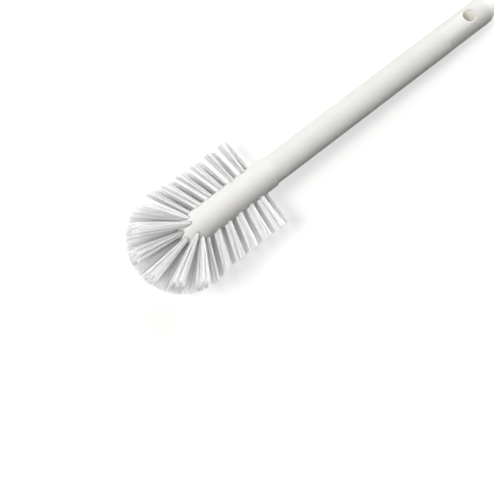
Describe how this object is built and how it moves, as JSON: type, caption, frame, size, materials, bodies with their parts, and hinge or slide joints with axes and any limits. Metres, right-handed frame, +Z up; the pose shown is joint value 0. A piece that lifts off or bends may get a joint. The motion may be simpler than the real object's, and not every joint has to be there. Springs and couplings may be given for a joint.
{
  "type": "dish brush",
  "caption": "Dish brush with a round textured handle, a hang hole, and a fan of flared nylon tufts along both sides and round the nose of a smooth round head.",
  "frame": {"origin": "middle of the brush's outline on the surface that it rests on", "axes": "+X from the bristled nose to the hang hole end, +Z up, Y across the fan of tufts"},
  "size_m": [0.287, 0.0688, 0.0467],
  "materials": {
    "handle_polypropylene": "white moulded polypropylene, fine raised grip texture, smooth end",
    "block_polypropylene": "white moulded polypropylene, smooth satin",
    "bristle_nylon": "clear white drawn nylon filament, cut ends",
    "anchor_wire": "bright flat staple wire"
  },
  "bodies": {
    "root": {"handle": "handle_polypropylene", "head_block": "block_polypropylene", "nose_staple_anchors": "anchor_wire", "side_staple_anchors": "anchor_wire", "tuft_left_lower_1": "bristle_nylon", "tuft_left_lower_2": "bristle_nylon", "tuft_left_lower_3": "bristle_nylon", "tuft_left_lower_4": "bristle_nylon", "tuft_left_lower_5": "bristle_nylon", "tuft_left_lower_6": "bristle_nylon", "tuft_left_upper_1": "bristle_nylon", "tuft_left_upper_2": "bristle_nylon", "tuft_left_upper_3": "bristle_nylon", "tuft_left_upper_4": "bristle_nylon", "tuft_left_upper_5": "bristle_nylon", "tuft_left_upper_6": "bristle_nylon", "tuft_nose_bottom_centre": "bristle_nylon", "tuft_nose_bottom_left_1": "bristle_nylon", "tuft_nose_bottom_left_2": "bristle_nylon", "tuft_nose_bottom_right_1": "bristle_nylon", "tuft_nose_bottom_right_2": "bristle_nylon", "tuft_nose_centre": "bristle_nylon", "tuft_nose_left_1": "bristle_nylon", "tuft_nose_left_2": "bristle_nylon", "tuft_nose_left_3": "bristle_nylon", "tuft_nose_left_4": "bristle_nylon", "tuft_nose_left_5": "bristle_nylon", "tuft_nose_right_1": "bristle_nylon", "tuft_nose_right_2": "bristle_nylon", "tuft_nose_right_3": "bristle_nylon", "tuft_nose_right_4": "bristle_nylon", "tuft_nose_right_5": "bristle_nylon", "tuft_nose_top_left_1": "bristle_nylon", "tuft_nose_top_left_2": "bristle_nylon", "tuft_nose_top_left_3": "bristle_nylon", "tuft_nose_top_right_1": "bristle_nylon", "tuft_nose_top_right_2": "bristle_nylon", "tuft_nose_top_right_3": "bristle_nylon", "tuft_right_lower_1": "bristle_nylon", "tuft_right_lower_2": "bristle_nylon", "tuft_right_lower_3": "bristle_nylon", "tuft_right_lower_4": "bristle_nylon", "tuft_right_lower_5": "bristle_nylon", "tuft_right_lower_6": "bristle_nylon", "tuft_right_upper_1": "bristle_nylon", "tuft_right_upper_2": "bristle_nylon", "tuft_right_upper_3": "bristle_nylon", "tuft_right_upper_4": "bristle_nylon", "tuft_right_upper_5": "bristle_nylon", "tuft_right_upper_6": "bristle_nylon"}
  },
  "joints": []
}
